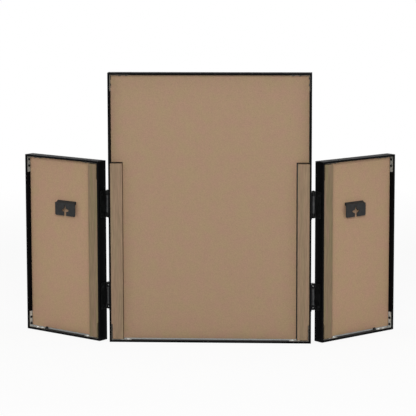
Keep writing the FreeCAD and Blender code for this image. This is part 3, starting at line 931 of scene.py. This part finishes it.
# ------------------------------------------------------------------------------ panels
@dataclass
class Panel:
    """A framed mirror panel: its sizes are read from the frame, and its methods make its pieces."""

    key: str
    body: str
    nodes: dict[str, bpy.types.Object]
    batten_sides: tuple[Side, ...]
    board_finish: Finish
    batten_finish: Finish
    seed: int
    touching: float = 0.01  # points this near to a plane or a rim lie on it
    arris: float = 0.4  # radius of the rails' outer edges and of the lip's
    inner_arris: float = 0.2
    mitre_seam: float = 0.15
    glass_corner: float = 1.0
    glass_seam: float = 0.8
    board_corner: float = 0.8
    board_roll: float = 0.5
    board_gaps: tuple[float, float] = (2.3, 2.3)  # beside the left and the right batten
    batten_roll: float = 0.6
    block_roll: float = 0.4
    strip_roll: float = 0.3
    bracket_roll: float = 0.2
    bracket_steel: float = 1.5
    level_slots: tuple[float, float] = (28.0, 46.5)  # middles, from a frame's inner corner
    upright_slots: tuple[float, float] = (9.5, 28.0)
    bracket_screw: ScrewHead = ScrewHead(HeadForm.PAN, 3.9, 2.0, 1.9, 5.0)
    # A cut edge is drawn dark: bare steel, and painted shade.
    sheared: float = 0.95  # a bracket's face whose normal has this much of y is a cut edge
    leaf_roll: float = 0.35
    leaf_steel: float = 1.5
    leaf_hole_inset: float = 11.0
    leaf_hole_depth: float = 18.0
    barrel_reach: float = 5.3  # faces of a leaf nearer than this to its pin belong to the barrel
    hinge_screw: ScrewHead = ScrewHead(HeadForm.FLAT, 3.7, 0.0, 2.0, 18.0)
    place: np.ndarray = field(init=False)

    def __post_init__(self) -> None:
        """Finds the panel's own frame from the long side of its glass and the middle of its rails.

        The long side is the eigenvector with the largest eigenvalue of the glass corners' spread in
        x and y.
        """
        glass = self.points_of(self.node("mirror_glass"))[:, :2]
        spread = np.cov((glass - glass.mean(axis=0)).T)
        across = np.linalg.eigh(spread)[1][:, -1]
        across *= math.copysign(1.0, across[0])
        self.place = turned(math.degrees(math.atan2(across[1], across[0])), "Z")
        low, high = self.frame_box()
        middle = (low + high) / 2
        self.place = self.place @ shifted(middle[0], middle[1], low[2])

    def node(self, part: str) -> str:
        """The CAD node's name of a part of this panel."""
        return f"{self.key}_{part}"

    def batten_part(self, side: Side) -> str:
        """The part name of the batten on a side, which a panel with a single one leaves out."""
        return f"batten_{side.name.lower()}" if len(self.batten_sides) > 1 else "batten"

    def points_of(self, node: str) -> np.ndarray:
        """Reads a CAD node's points.

        Args:
            node: The node's name.

        Returns:
            Points (n, 3) in millimetres, in the row frame.
        """
        mesh = self.nodes[node].data
        points = np.zeros(len(mesh.vertices) * 3)
        mesh.vertices.foreach_get("co", points)
        return points.reshape(-1, 3) / MM

    def local_box(self, *names: str) -> tuple[np.ndarray, np.ndarray]:
        """Boxes CAD nodes in the panel's own frame.

        Args:
            names: The nodes' names.

        Returns:
            The lowest and the highest corner, in millimetres.
        """
        points = np.concatenate([self.points_of(name) for name in names])
        back = np.linalg.inv(self.place)
        local = points @ back[:3, :3].T + back[:3, 3]
        return local.min(axis=0), local.max(axis=0)

    def frame_box(self) -> tuple[np.ndarray, np.ndarray]:
        """The box of the four rails in the panel's own frame."""
        return self.local_box(*[self.node("rail_" + side.name.lower()) for side in RailSide])

    def piece(self, shell: Shell, name: str, finishes: list[Finish], replaced: list[str]) -> None:
        """Makes a shell from the panel's own frame a piece of the object.

        Args:
            shell: The surface, in the panel's own frame.
            name: Name of the piece, without the panel's key.
            finishes: The finishes that its faces point to.
            replaced: Parts of this panel that it stands for.
        """
        mesh = mesh_from(shell.moved(self.place), self.node(name))
        link_piece(mesh, finishes, self.body, [self.node(part) for part in replaced])

    def dressed_copy(
        self,
        node: str,
        name: str,
        finishes: list[Finish],
        roll_mm: float,
        marked: Callable[[np.ndarray, np.ndarray], np.ndarray] | None = None,
    ) -> None:
        """Replaces a CAD node by its merged copy with rolled edges.

        Args:
            node: The CAD node.
            name: Name of the piece.
            finishes: Its finish, and the finish of its marked faces if some are marked.
            roll_mm: Width of its rolled edges in millimetres.
            marked: Picks faces by their centres in millimetres and their normals, each (n, 3).
        """
        mesh = merged_copy(self.nodes[node], name)
        if marked is not None:
            centres, normals = np.zeros((2, len(mesh.polygons) * 3))
            mesh.polygons.foreach_get("center", centres)
            mesh.polygons.foreach_get("normal", normals)
            picked = marked(centres.reshape(-1, 3) / MM, normals.reshape(-1, 3))
            mesh.polygons.foreach_set("material_index", picked.astype(np.int32))
        soften(link_piece(mesh, finishes, self.body, [node]), roll_mm)

    def dressed_part(self, part: str, name: str, finish: Finish, roll_mm: float) -> None:
        """Replaces a part of this panel by its dressed copy, all in one finish."""
        self.dressed_copy(self.node(part), self.node(name), [finish], roll_mm)

    def build(self) -> None:
        """Makes the pieces that every panel has."""
        self.build_rails()
        self.build_glass()
        self.build_board()
        for side in self.batten_sides:
            part = self.batten_part(side)
            self.dressed_part(part, part + "_strip", self.batten_finish, self.batten_roll)
        self.build_brackets()
        self.dressed_part("setting_blocks", "glazing_blocks", RUBBER, self.block_roll)
        self.dressed_part("seating_strip", "foam_strip", FOAM, self.strip_roll)

    def build_rails(self) -> None:
        """The four mitred rails.

        A rail is its rounded section (depth, reach) carried along x.  Its end rings lie in the
        mitre planes, where |x| = half the length - reach, and the last bit before them is drawn in
        by the seam, so that a fine line shows at each mitre.  The bottom rail's upward ledge is a
        paler grey: partly dust, partly painted light from above.
        """
        low, high = self.frame_box()
        glass_front = self.local_box(self.node("mirror_glass"))[0][1]
        wall = self.local_box(self.node("corner_bracket_bottom_left"))[0][2]
        reach = self.local_box(self.node("rail_bottom"))[1][2]
        corners = [(low[1], 0), (high[1], 0), (high[1], wall), (glass_front, wall)]
        corners += [(glass_front, reach), (low[1], reach)]
        radii = [self.arris] * 2 + [self.inner_arris] * 2 + [self.arris] * 2
        section, wear = rounded(corners, radii)
        drawn_in = inset(section, self.mitre_seam)
        stations = [(-1, drawn_in, 0.0), (-1, section, self.mitre_seam)]
        stations += [(-sign, ring, back) for sign, ring, back in reversed(stations)]
        middle = high[2] / 2
        for side in RailSide:
            level = side in (RailSide.BOTTOM, RailSide.TOP)
            half_length, half_across = (high[0], middle) if level else (middle, high[0])
            rings = [
                np.stack([sign * (half_length - ring[:, 1] - back), *ring.T], axis=1)
                for sign, ring, back in stations
            ]
            shell = Shell.through(np.stack(rings), np.stack([wear] * len(rings)))
            finishes = [FRAME_COAT, FRAME_COAT, FRAME_COAT]
            if side is RailSide.BOTTOM:
                # The ledge's faces take the paler grey of dust and of painted light from above.
                for number, face in enumerate(shell.faces):
                    if np.abs(shell.points[list(face), 2] - wall).max() < self.touching:
                        shell.finish_of_face[number] = len(finishes)
                finishes.append(LEDGE_DUST_AND_LIGHT)
            upright = shifted(0, 0, middle) @ turned(side.value, "Y") @ shifted(0, 0, -half_across)
            name = side.name.lower()
            self.piece(shell.moved(upright), name + "_rail_extrusion", finishes, ["rail_" + name])

    def build_glass(self) -> None:
        """The mirror glass, a plate with seamed edges: rear paint, ground edge, silvered front."""
        low, high = self.local_box(self.node("mirror_glass"))
        corners = [(low[0], low[2]), (high[0], low[2]), (high[0], high[2]), (low[0], high[2])]
        outline, _ = rounded(corners, [self.glass_corner] * 4)
        shell = slab(outline, low[1], high[1], self.glass_seam, steps=1)
        self.piece(shell, "silvered_glass", [GLASS_EDGE, MIRROR_FACE, GLASS_BACK], ["mirror_glass"])

    def board_side(self, side: Side) -> list[tuple[float, float]]:
        """Outlines one side of the board, notched round a batten where there is one.

        Args:
            side: The side of the panel.

        Returns:
            Corners in x and z, from the bottom up.
        """
        low, high = self.local_box(self.node("backing_board"))
        right = side is Side.RIGHT
        outer = high[0] if right else low[0]
        if side not in self.batten_sides:
            return [(outer, low[2]), (outer, high[2])]
        batten_low, batten_high = self.local_box(self.node(self.batten_part(side)))
        edge = batten_low[0] - self.board_gaps[1] if right else batten_high[0] + self.board_gaps[0]
        top = batten_high[2] + self.board_gaps[0]
        if top < high[2]:
            return [(edge, low[2]), (edge, top), (outer, top), (outer, high[2])]
        return [(edge, low[2]), (edge, high[2])]

    def build_board(self) -> None:
        """The backing board, a plate with softly rolled sawn edges."""
        low, high = self.local_box(self.node("backing_board"))
        corners = self.board_side(Side.RIGHT) + self.board_side(Side.LEFT)[::-1]
        outline, _ = rounded(corners, [self.board_corner] * len(corners))
        shell = slab(outline, low[1], high[1], self.board_roll)
        finishes = [BOARD_EDGE, self.board_finish, self.board_finish]
        self.piece(shell, "fibreboard_back", finishes, ["backing_board"])

    def build_brackets(self) -> None:
        """The four corner brackets, bare where they were sheared, and the screws in their slots."""
        # The top brackets and their level legs' screws are darker as painted shade under the top
        # rails; the sheared edges are dark as bare steel and as painted shade.
        dice = np.random.default_rng(self.seed)
        zinc, black = [], []
        for level in Level:
            # The top brackets, and their level legs' screws, get painted shade.
            plate, level_leg_screws = (ZINC, zinc) if level is Level.BOTTOM else (ZINC_PAINTED_SHADE, black)
            for side in Side:
                node = self.node(f"corner_bracket_{level.value}_{side.name.lower()}")
                self.dressed_copy(
                    node,
                    node.replace("corner_bracket", "slotted_bracket"),
                    [plate, CUT_STEEL_AND_SHADE],
                    self.bracket_roll,
                    lambda _, normals: np.abs(normals @ self.place[:3, 1]) > self.sheared,
                )
                level_leg_screws += self.bracket_screws(node, level, side, True, dice)
                black += self.bracket_screws(node, level, side, False, dice)
        # Bottom level-leg screws: zinc with a painted glint; the rest black, the top ones as
        # painted shade.
        self.piece(Shell.joined(zinc), "zinc_bracket_screws", [ZINC_SCREW_AND_GLINT], [])
        self.piece(Shell.joined(black), "black_bracket_screws", [BLACK_SCREW_AND_SHADE], [])

    def bracket_screws(
        self, node: str, level: Level, side: Side, level_leg: bool, dice: np.random.Generator
    ) -> list[Shell]:
        """The two screws of one leg of a bracket.

        Args:
            node: The bracket's CAD node.
            level: The bracket's end of the panel.
            side: The bracket's side of the panel.
            level_leg: True for the leg along the bottom or top rail.
            dice: Gives the turns.

        Returns:
            The two screws.
        """
        low, high = self.local_box(node)
        right, bottom = side is Side.RIGHT, level is Level.BOTTOM
        corner = np.array(
            [high[0] if right else low[0], (low[1] + high[1]) / 2, low[2] if bottom else high[2]]
        )
        inwards = np.array([-float(side.value), 0.0, 0.0])
        upwards = np.array([0.0, 0.0, 1.0 if bottom else -1.0])
        along, out = (inwards, upwards) if level_leg else (upwards, inwards)
        return [
            self.bracket_screw.driven(corner + along * reach + out * self.bracket_steel, out, dice)
            for reach in (self.level_slots if level_leg else self.upright_slots)
        ]

    def dressed_leaf(self, leaf: str, name: str, barrel: Finish) -> None:
        """Replaces a hinge leaf by its softened copy, its barrel in a finish of its own.

        Args:
            leaf: The leaf's CAD node.
            name: Name of the piece.
            barrel: Finish of the leaf's knuckles.
        """
        pin = self.points_of(leaf.rsplit("_", 2)[0] + "_pin")[:, :2]
        middle = (pin.min(axis=0) + pin.max(axis=0)) / 2
        self.dressed_copy(
            leaf,
            name,
            [HINGE_BLACK, barrel],
            self.leaf_roll,
            lambda at, _: np.linalg.norm(at[:, :2] - middle, axis=1) < self.barrel_reach,
        )

    def leaf_screws(self, leaves: list[str], side: Side, dice: np.random.Generator) -> list[Shell]:
        """The countersunk screws of the hinge leaves on one side of the panel.

        Args:
            leaves: The CAD nodes of the leaves.
            side: The side of the panel that they lie on.
            dice: Gives the turns.

        Returns:
            Two screws for each leaf, their heads flush with it.
        """
        low, high = self.frame_box()
        face = (high[0] if side is Side.RIGHT else low[0]) + side.value * self.leaf_steel
        depth = low[1] + self.leaf_hole_depth
        made = []
        for leaf in leaves:
            leaf_low, leaf_high = self.local_box(leaf)
            for z in (leaf_low[2] + self.leaf_hole_inset, leaf_high[2] - self.leaf_hole_inset):
                out = (float(side.value), 0.0, 0.0)
                made.append(self.hinge_screw.driven((face, depth, z), out, dice))
        return made


@dataclass
class CentrePanel(Panel):
    """The tall panel that stands still, with two battens and the fixed halves of the hinges."""

    pin_sides: int = 40
    pin_crown: float = 0.9  # how far the dome of a pin's head rises over its rim
    tail_roll: float = 0.7
    dome_steps: int = 6
    knuckle_radius: float = 5.0
    stud_radius: float = 1.5
    stud_rise: float = 0.8
    stud_inset: float = 7.0  # from an end of the hinge
    stud_sink: float = 0.25  # of its seat in the round of the knuckle
    stud_root: float = 0.6  # how far it runs on into the knuckle
    stud_sides: int = 20
    stud_steps: int = 5

    def build(self) -> None:
        """Makes the panel, its hinge leaves, pins and hinge screws."""
        super().build()
        dice = np.random.default_rng(self.seed + 1)
        screws = []
        for side in Side:
            # The lower hinges' pins and studs are pale as painted glints; the upper ones are black.
            hinges = {
                f"{side.name.lower()}_{height}_hinge": finish
                for height, finish in (("lower", PIN_STEEL_PAINTED_GLINT), ("upper", HINGE_BLACK))
            }
            for hinge in hinges:
                self.dressed_leaf(hinge + "_fixed_leaf", hinge + "_knuckled_leaf", HINGE_BLACK)
            screws += self.leaf_screws([hinge + "_fixed_leaf" for hinge in hinges], side, dice)
            for hinge, finish in hinges.items():
                self.build_pin(hinge, finish)
                self.build_studs(hinge, finish)
        self.piece(Shell.joined(screws), "leaf_screws", [HINGE_SCREW], ["hinge_screws"])

    def build_pin(self, hinge: str, finish: Finish) -> None:
        """A hinge pin with a domed head and a tail that is rounded as a dome upside down.

        Args:
            hinge: What the names of the hinge's CAD nodes start with.
            finish: The pin's finish.
        """
        node = hinge + "_pin"
        points = self.points_of(node)
        low, high = points.min(axis=0), points.max(axis=0)
        middle = (low + high) / 2
        head = (high[0] - low[0]) / 2
        reach = np.hypot(points[:, 0] - middle[0], points[:, 1] - middle[1])
        shank = reach[points[:, 2] < low[2] + self.touching].max()
        seat = points[reach > head - self.touching, 2].min()
        tail = dome(shank, low[2] + self.tail_roll, -self.tail_roll, self.dome_steps)[::-1]
        crown = dome(head, high[2] - self.pin_crown, self.pin_crown, self.dome_steps)
        shell = lathe([*tail, (shank, seat), (head, seat), *crown], self.pin_sides)
        placed = shell.moved(shifted(middle[0], middle[1], 0.0))
        name = node.replace("hinge_pin", "domed_hinge_pin")
        link_piece(mesh_from(placed, name), [finish], self.body, [node])

    def build_studs(self, hinge: str, finish: Finish) -> None:
        """The two small domed studs that lock a pin in its outer knuckles, on their rear side.

        Args:
            hinge: What the names of the hinge's CAD nodes start with.
            finish: The studs' finish; on the lower hinges its pale steel is a painted glint.
        """
        pin = self.points_of(hinge + "_pin")
        middle = (pin.min(axis=0) + pin.max(axis=0)) / 2
        leaf = self.points_of(hinge + "_fixed_leaf")
        seat = middle[1] + self.knuckle_radius - self.stud_sink
        crown = dome(self.stud_radius, 0.0, self.stud_rise, self.stud_steps)
        shell = lathe([(self.stud_radius, -self.stud_root), *crown], self.stud_sides)
        heights = (leaf[:, 2].min() + self.stud_inset, leaf[:, 2].max() - self.stud_inset)
        made = [shell.moved(seated((middle[0], seat, z), (0.0, 1.0, 0.0))) for z in heights]
        link_piece(mesh_from(Shell.joined(made), hinge + "_locking_studs"), [finish], self.body, [])


@dataclass
class Wing(Panel):
    """A shorter panel that swings, with one batten, the moving leaves and a keyhole hanger."""

    hanger_screw: ScrewHead = ScrewHead(HeadForm.PAN, 3.2, 1.8, 1.6, 9.0)
    hanger_roll: float = 0.35

    def build(self) -> None:
        """Makes the panel, its moving hinge leaves, its hanger and their screws."""
        super().build()
        dice = np.random.default_rng(self.seed + 1)
        leaves = [self.node(f"{height}_hinge_moving_leaf") for height in ("lower", "upper")]
        for leaf in leaves:
            # Their knuckles take the paler grey of a painted highlight.
            self.dressed_leaf(leaf, leaf.replace("moving_leaf", "swinging_leaf"), HINGE_BARREL_PAINTED_HIGHLIGHT)
        screws = self.leaf_screws(leaves, self.batten_sides[0], dice)
        self.piece(Shell.joined(screws), "leaf_screws", [HINGE_SCREW], ["hinge_screws"])
        self.dressed_part("hanger", "keyhole_hanger", HANGER_BLACK, self.hanger_roll)
        self.build_hanger_screws(dice)

    def build_hanger_screws(self, dice: np.random.Generator) -> None:
        """Makes the two pan-head screws on the hanger's flange.

        Args:
            dice: Gives their turns.
        """
        low, high = self.local_box(self.node("hanger_screws"))
        screw = self.hanger_screw
        depth, height = high[1] - screw.height, (low[2] + high[2]) / 2
        made = [
            screw.driven((x, depth, height), (0.0, 1.0, 0.0), dice)
            for x in (low[0] + screw.radius, high[0] - screw.radius)
        ]
        self.piece(Shell.joined(made), "flange_screws", [HANGER_SCREW], ["hanger_screws"])


# ------------------------------------------------------------------------------ studio and camera
@dataclass(frozen=True)
class SoftLamp:
    """A square soft box: where it hangs, what it looks at, its side in metres and its power."""

    name: str
    place: tuple[float, float, float]
    aim: tuple[float, float, float]
    size: float
    watts: float

    def hang(self) -> None:
        """Makes the lamp."""
        light = bpy.data.lights.new(self.name, "AREA")
        light.shape = "SQUARE"
        light.size = self.size
        light.energy = self.watts
        lamp = bpy.data.objects.new(self.name, light)
        lamp.location = self.place
        lamp.rotation_mode = "QUATERNION"
        lamp.rotation_quaternion = (Vector(self.aim) - Vector(self.place)).to_track_quat("-Z", "Y")
        bpy.context.scene.collection.objects.link(lamp)


@dataclass
class Studio:
    """A white sweep: a round pale floor, a white surround and soft lamps behind and above."""

    floor_radius: float = 40.0
    floor_white: str = "#fafafa"
    near_radius: float = 1.6  # out to here the floor keeps the mirror's shadow
    far_radius: float = 3.2  # past here it is plain white
    shadow_share: float = 0.1
    sky_strength: float = 0.235
    floor_rings: int = 12
    floor_sides: int = 64
    hub_radius: float = 0.5
    lamps: tuple[SoftLamp, ...] = (
        SoftLamp("rear_soft_box", (-0.15, 3.4, 1.9), (0.0, 0.0, 0.4), 1.1, 58.0),
        SoftLamp("right_fill_box", (3.6, 1.7, 1.5), (0.0, 0.0, 0.3), 1.4, 17.0),
        SoftLamp("left_fill_box", (-3.6, 1.7, 1.5), (0.0, 0.0, 0.3), 1.4, 17.0),
        SoftLamp("overhead_soft_box", (0.0, 0.0, 3.4), (0.0, 0.0, 0.3), 2.4, 30.0),
    )

    def build(self) -> None:
        """Lays the floor, hangs the lamps and sets the world."""
        self.lay_floor()
        self.set_world()
        for lamp in self.lamps:
            lamp.hang()
        bpy.context.scene.view_settings.view_transform = "Standard"

    def seen_directly(self, tree: bpy.types.NodeTree) -> bpy.types.NodeSocket:
        """Tells the rays that see the white surround from those that light the object.

        Args:
            tree: The node tree that asks.

        Returns:
            A socket with 1 for camera, glossy and transmission rays.
        """
        path = add_node(tree, "ShaderNodeLightPath")
        seen = path.outputs["Is Camera Ray"]
        for ray in ("Is Glossy Ray", "Is Transmission Ray"):
            either = {0: seen, 1: path.outputs[ray]}
            seen = add_node(tree, "ShaderNodeMath", {"operation": "MAXIMUM"}, either).outputs[0]
        return seen

    def lay_floor(self) -> None:
        """A disc, turned from a level profile whose radius grows by equal factors."""
        radii = np.geomspace(self.hub_radius, self.floor_radius, self.floor_rings)
        shell = lathe([(radius, 0.0) for radius in radii], self.floor_sides)
        mesh = bpy.data.meshes.new("studio_floor")
        mesh.from_pydata(shell.points.tolist(), [], shell.faces[:-1])
        floor = bpy.data.objects.new("studio_floor", mesh)
        bpy.context.scene.collection.objects.link(floor)
        mesh.materials.append(self.floor_material())

    def floor_material(self) -> bpy.types.Material:
        """Makes the pale matt floor, whose shadow thins out to plain white away from the mirror.

        Returns:
            The floor's material.
        """
        made = bpy.data.materials.new("pale_studio_floor")
        tree = emptied(made)
        matt = add_node(tree, "ShaderNodeBsdfDiffuse", {"Color": srgb(self.floor_white)})
        white = add_node(tree, "ShaderNodeEmission", {"Color": srgb("#ffffff"), "Strength": 1.0})
        place = add_node(tree, "ShaderNodeTexCoord")
        length = {"operation": "LENGTH"}
        distance = add_node(tree, "ShaderNodeVectorMath", length, {0: place.outputs["Object"]})
        ends = {"From Min": self.near_radius, "From Max": self.far_radius}
        ends |= {"To Min": 1.0 - self.shadow_share, "To Max": 1.0}
        cover = add_node(tree, "ShaderNodeMapRange", ends, {"Value": distance.outputs["Value"]})
        factors = {0: self.seen_directly(tree), 1: cover.outputs["Result"]}
        share = add_node(tree, "ShaderNodeMath", {"operation": "MULTIPLY"}, factors).outputs[0]
        both = {0: share, 1: matt.outputs["BSDF"], 2: white.outputs["Emission"]}
        mixed = add_node(tree, "ShaderNodeMixShader", None, both)
        add_node(tree, "ShaderNodeOutputMaterial", None, {"Surface": mixed.outputs["Shader"]})
        return made

    def set_world(self) -> None:
        """White where it is seen or mirrored, and a plain soft light for everything else."""
        world = bpy.data.worlds.new("white_surround")
        tree = emptied(world)
        ends = {"To Min": self.sky_strength, "To Max": 1.0}
        strength = add_node(
            tree, "ShaderNodeMapRange", ends, {"Value": self.seen_directly(tree)}
        ).outputs["Result"]
        white = {"Color": srgb("#ffffff")}
        light = add_node(tree, "ShaderNodeBackground", white, {"Strength": strength})
        add_node(tree, "ShaderNodeOutputWorld", None, {"Surface": light.outputs["Background"]})
        bpy.context.scene.world = world


@dataclass(frozen=True)
class StudioCamera:
    """A long lens behind the mirror, a little above it, with the frame shifted down."""

    place: tuple[float, float, float] = (-246.21, 5097.50, 1160.56)  # millimetres
    pan: float = 2.8252  # degrees from straight along -Y, towards +X
    tilt: float = -7.3689
    roll: float = -0.1268
    focal_length: float = 159.446
    sensor_width: float = 36.0
    shift_down: float = 0.101
    sight: float = 100.0  # metres

    def build(self) -> None:
        """Makes the camera and hands it to the scene."""
        turn = turned(180.0 + self.pan, "Z") @ turned(90.0 + self.tilt, "X")
        data = bpy.data.cameras.new("studio_camera")
        data.lens = self.focal_length
        data.sensor_width = self.sensor_width
        data.sensor_fit = "HORIZONTAL"
        data.shift_y = -self.shift_down
        data.clip_end = self.sight
        camera = bpy.data.objects.new("studio_camera", data)
        spot = shifted(*(value * MM for value in self.place))
        camera.matrix_world = Matrix(spot @ turn @ turned(self.roll, "Z"))
        bpy.context.scene.collection.objects.link(camera)
        bpy.context.scene.camera = camera


def main() -> None:
    """Builds the mirror's looks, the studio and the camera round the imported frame."""
    logging.basicConfig(level=logging.INFO, format="%(message)s", stream=sys.stdout)
    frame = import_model()
    nodes = frame["nodes"]
    panels = (
        CentrePanel(
            "centre", "centre_panel", nodes, tuple(Side), CENTRE_BOARD, CENTRE_BATTEN,
            seed=11, board_gaps=(3.6, 1.2),
        ),
        Wing("right", "right_wing", nodes, (Side.LEFT,), WING_BOARD_PAINTED_LIGHT, WING_BATTEN, seed=23),
        Wing("left", "left_wing", nodes, (Side.RIGHT,), WING_BOARD_PAINTED_LIGHT, WING_BATTEN, seed=37),
    )
    for panel in panels:
        panel.build()
        LOG.info("%s panel built", panel.key)
    Studio().build()
    StudioCamera().build()


if __name__ == "__main__":
    main()
